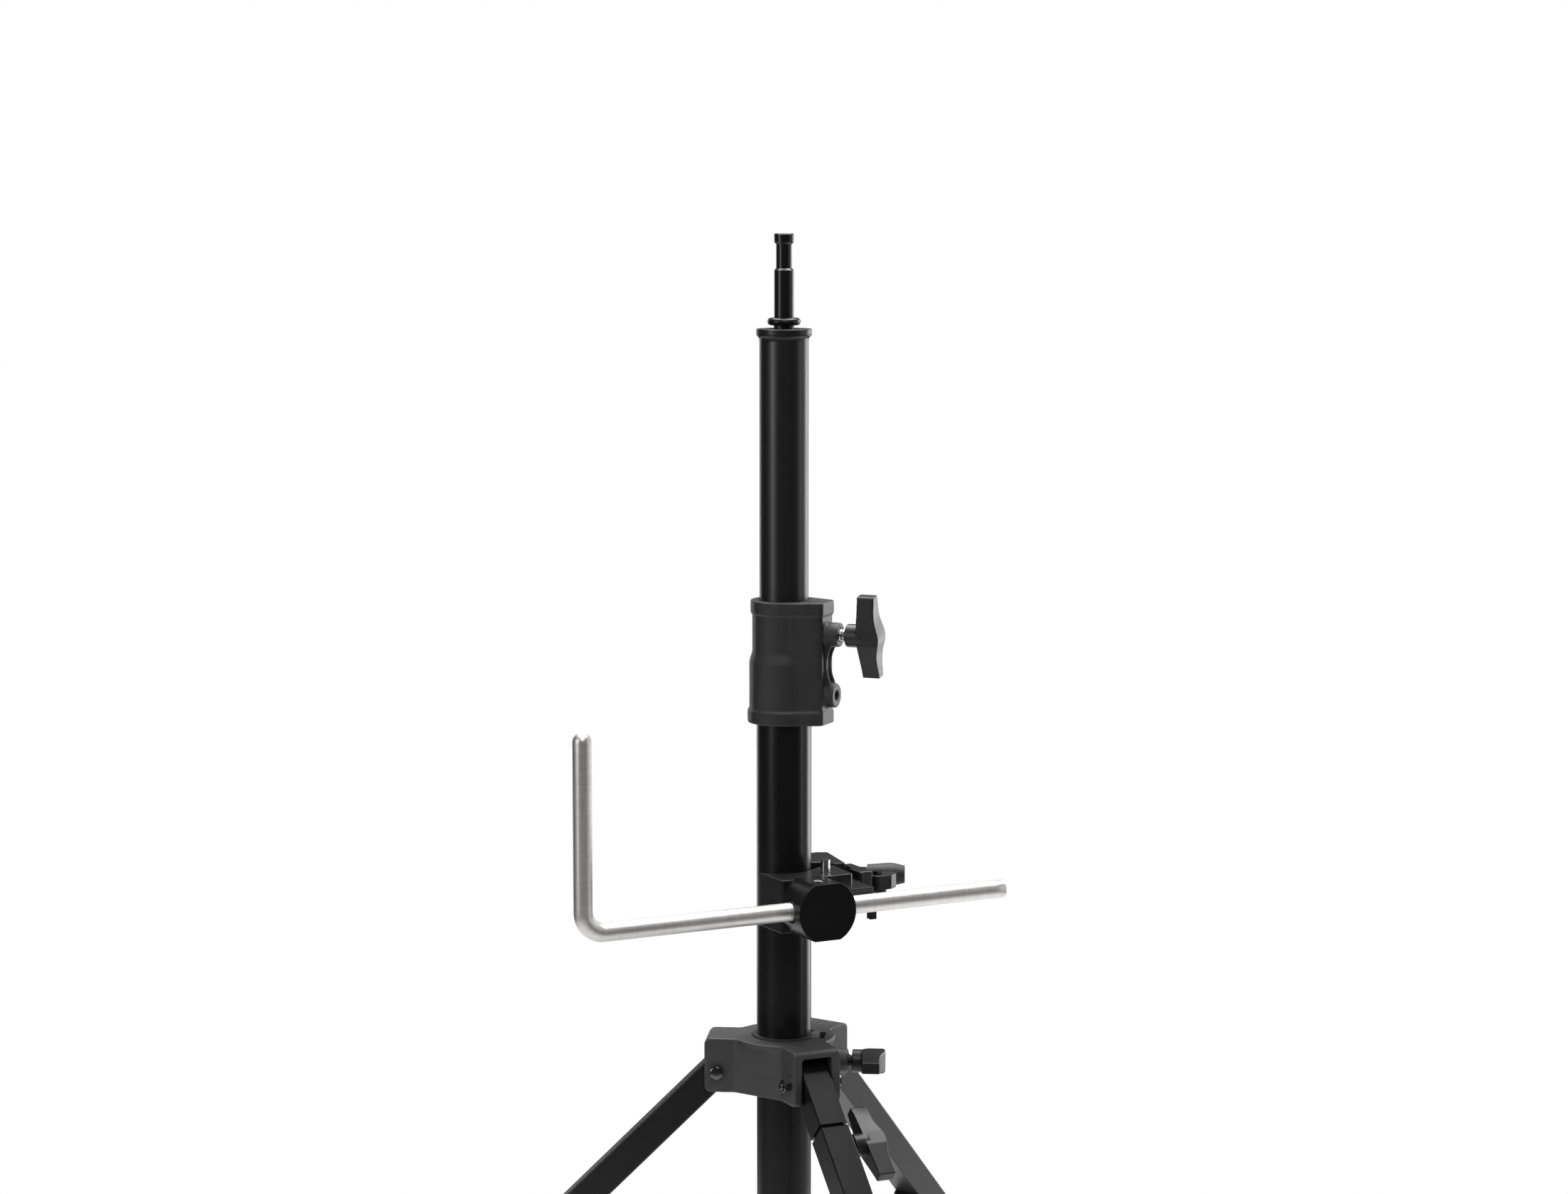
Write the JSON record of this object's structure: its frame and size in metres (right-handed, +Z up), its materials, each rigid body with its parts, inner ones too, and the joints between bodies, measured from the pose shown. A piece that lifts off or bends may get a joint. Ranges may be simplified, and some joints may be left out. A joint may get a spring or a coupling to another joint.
{
  "type": "camera stand",
  "caption": "Folding three-legged stand with a spigot-topped riser, locking T-knobs and a jaw clamp on its column that holds an L-shaped rod.",
  "frame": {"origin": "on the column's axis, at the floor under the open legs", "axes": "+Z up along the column and spigot; +X to the side that the locking knobs face; +Y away from the side with the rod holder"},
  "size_m": [0.9928, 1.0908, 1.2536],
  "materials": {
    "black_anodised": "satin black anodised",
    "black_casting": "fine textured matt black paint",
    "grey_casting": "fine textured dark grey paint",
    "knob_black": "satin dark grey moulding",
    "plain_steel": "turned steel",
    "dark_steel": "blackened steel",
    "stainless_rod": "brushed stainless steel",
    "chrome_pin": "polished chrome",
    "brake_pad": "matt grey",
    "bush_plastic": "black nylon",
    "leg_paint": "satin black paint",
    "boot_rubber": "matt black rubber",
    "holder_black": "smooth satin black anodised"
  },
  "bodies": {
    "column": {"column_tube": "black_anodised", "column_plug": "bush_plastic", "lower_hub": "black_casting", "hub_pins": "plain_steel", "collar": "black_casting", "collar_set_screw": "dark_steel"},
    "riser": {"riser_tube": "black_anodised", "riser_cap": "black_casting", "riser_guide": "bush_plastic", "spigot": "black_anodised", "spigot_ring": "black_anodised"},
    "collar_pad": {"collar_pad": "brake_pad"},
    "collar_knob": {"collar_knob": "knob_black", "collar_screw": "plain_steel"},
    "spider": {"spider": "grey_casting", "spider_bush": "bush_plastic", "leg_bolts": "plain_steel", "leg_nuts": "plain_steel"},
    "spider_pad": {"spider_pad": "brake_pad"},
    "spider_knob": {"spider_knob": "knob_black", "spider_screw": "dark_steel"},
    "leg_left": {"leg_left": "leg_paint", "foot_left": "boot_rubber", "lug_left": "black_casting"},
    "leg_rear": {"leg_rear": "leg_paint", "foot_rear": "boot_rubber", "lug_rear": "black_casting"},
    "leg_front": {"leg_front_upper": "leg_paint", "leg_front_core": "plain_steel", "lug_front": "black_casting"},
    "leg_front_foot": {"leg_front_lower": "leg_paint", "foot_front": "boot_rubber"},
    "level_pad": {"level_pad": "brake_pad"},
    "level_knob": {"level_knob": "knob_black", "level_screw": "dark_steel"},
    "brace_left": {"brace_left": "leg_paint", "rivets_left": "plain_steel"},
    "brace_rear": {"brace_rear": "leg_paint", "rivets_rear": "plain_steel"},
    "brace_front": {"brace_front": "leg_paint", "rivets_front": "plain_steel"},
    "clamp": {"clamp_body": "black_casting", "lever_pin": "plain_steel", "lock_pin_spring": "plain_steel"},
    "jaw": {"clamp_jaw": "black_casting"},
    "lever": {"clamp_lever": "grey_casting", "lever_grip": "boot_rubber"},
    "lock_pin": {"lock_pin": "chrome_pin"},
    "socket_lock": {"socket_lock": "knob_black"},
    "holder": {"rod_holder": "holder_black", "holder_stud": "plain_steel", "holder_screw": "plain_steel"},
    "rod_sleeve": {"rod_sleeve": "bush_plastic"},
    "rod": {"l_rod": "stainless_rod"}
  },
  "joints": [
    {"name": "riser_slide", "type": "slide", "parent": "column", "child": "riser", "axis": [0, 0, 1], "range_m": [-0.2, 0.45]},
    {"name": "collar_pad_slide", "type": "slide", "parent": "column", "child": "collar_pad", "axis": [0.9205, -0.3907, 0], "range_m": [0, 0.003]},
    {"name": "collar_knob_turn", "type": "hinge", "parent": "collar_pad", "child": "collar_knob", "pos_m": [0, 0, 0.929], "axis": [0.9205, -0.3907, 0], "range_deg": [0, 720]},
    {"name": "leg_fold", "type": "slide", "parent": "column", "child": "spider", "axis": [0, 0, 1], "range_m": [0, 0.09341]},
    {"name": "leg_left_hinge", "type": "hinge", "parent": "spider", "child": "leg_left", "pos_m": [-0.0538, 0.00471, 0.564], "axis": [-0.0872, -0.9962, 0], "range_deg": [0, 45.02]},
    {"name": "brace_left_hinge", "type": "hinge", "parent": "column", "child": "brace_left", "pos_m": [-0.03188, 0.00279, 0.14642], "axis": [0.0872, 0.9962, 0], "range_deg": [0, 32.39]},
    {"name": "leg_front_hinge", "type": "hinge", "parent": "spider", "child": "leg_front", "pos_m": [0.02282, -0.04894, 0.564], "axis": [0.9063, 0.4226, 0], "range_deg": [0, 45.02]},
    {"name": "brace_front_hinge", "type": "hinge", "parent": "column", "child": "brace_front", "pos_m": [0.01352, -0.029, 0.14642], "axis": [-0.9063, -0.4226, 0], "range_deg": [0, 32.39]},
    {"name": "leg_rear_hinge", "type": "hinge", "parent": "spider", "child": "leg_rear", "pos_m": [0.03097, 0.04423, 0.564], "axis": [-0.8192, 0.5736, 0], "range_deg": [0, 45.02]},
    {"name": "brace_rear_hinge", "type": "hinge", "parent": "column", "child": "brace_rear", "pos_m": [0.01835, 0.02621, 0.14642], "axis": [0.8192, -0.5736, 0], "range_deg": [0, 32.39]},
    {"name": "spider_pad_slide", "type": "slide", "parent": "spider", "child": "spider_pad", "axis": [0.9962, -0.0872, 0], "range_m": [0, 0.003]},
    {"name": "spider_knob_turn", "type": "hinge", "parent": "spider_pad", "child": "spider_knob", "pos_m": [0, 0, 0.571], "axis": [0.9962, -0.0872, 0], "range_deg": [0, 720]},
    {"name": "level_slide", "type": "slide", "parent": "leg_front", "child": "leg_front_foot", "axis": [0.2988, -0.6409, -0.7071], "range_m": [0, 0.1]},
    {"name": "level_pad_slide", "type": "slide", "parent": "leg_front_foot", "child": "level_pad", "axis": [0.9063, 0.4226, 0], "range_m": [0, 0.003]},
    {"name": "level_knob_turn", "type": "hinge", "parent": "level_pad", "child": "level_knob", "pos_m": [0.04135, -0.08867, 0.52016], "axis": [0.9063, 0.4226, 0], "range_deg": [0, 720]},
    {"name": "clamp_slide", "type": "slide", "parent": "column", "child": "clamp", "axis": [0, 0, 1], "range_m": [0, 0.1]},
    {"name": "lever_turn", "type": "hinge", "parent": "clamp", "child": "lever", "pos_m": [0.07792, 0.03237, 0.715], "axis": [0, 0, -1], "range_deg": [0, 60]},
    {"name": "jaw_slide", "type": "slide", "parent": "clamp", "child": "jaw", "axis": [-0.4695, 0.8829, 0], "range_m": [0, 0.005]},
    {"name": "lock_pin_press", "type": "slide", "parent": "clamp", "child": "lock_pin", "axis": [0, 0, -1], "range_m": [0, 0.004], "stiffness_N_per_m": 600, "deforming": ["lock_pin_spring"]},
    {"name": "socket_lock_turn", "type": "hinge", "parent": "clamp", "child": "socket_lock", "pos_m": [0.07035, -0.0045, 0.706], "axis": [-0.8829, -0.4695, 0], "range_deg": [0, 90]},
    {"name": "holder_swivel", "type": "hinge", "parent": "clamp", "child": "holder", "pos_m": [0.02745, -0.06015, 0.711], "axis": [-0.4695, 0.8829, 0], "range_deg": [-45, 45]},
    {"name": "rod_roll", "type": "hinge", "parent": "holder", "child": "rod_sleeve", "pos_m": [0.02764, -0.06051, 0.711], "axis": [0.8829, 0.4695, 0], "range_deg": [-90, 90]},
    {"name": "rod_slide", "type": "slide", "parent": "rod_sleeve", "child": "rod", "axis": [-0.8829, -0.4695, 0], "range_m": [-0.1, 0.14]}
  ],
  "couplings": [
    {"joint": "collar_pad_slide", "follows": "collar_knob_turn", "m_per_rad": 0.00023873},
    {"joint": "leg_left_hinge", "follows": "leg_fold", "rad_per_m": 8.408},
    {"joint": "brace_left_hinge", "follows": "leg_fold", "rad_per_m": 6.0482},
    {"joint": "leg_front_hinge", "follows": "leg_fold", "rad_per_m": 8.408},
    {"joint": "brace_front_hinge", "follows": "leg_fold", "rad_per_m": 6.0482},
    {"joint": "leg_rear_hinge", "follows": "leg_fold", "rad_per_m": 8.408},
    {"joint": "brace_rear_hinge", "follows": "leg_fold", "rad_per_m": 6.0482},
    {"joint": "spider_pad_slide", "follows": "spider_knob_turn", "m_per_rad": 0.00023873},
    {"joint": "level_pad_slide", "follows": "level_knob_turn", "m_per_rad": 0.00023873},
    {"joint": "jaw_slide", "follows": "lever_turn", "m_per_rad": 0.0042972}
  ]
}
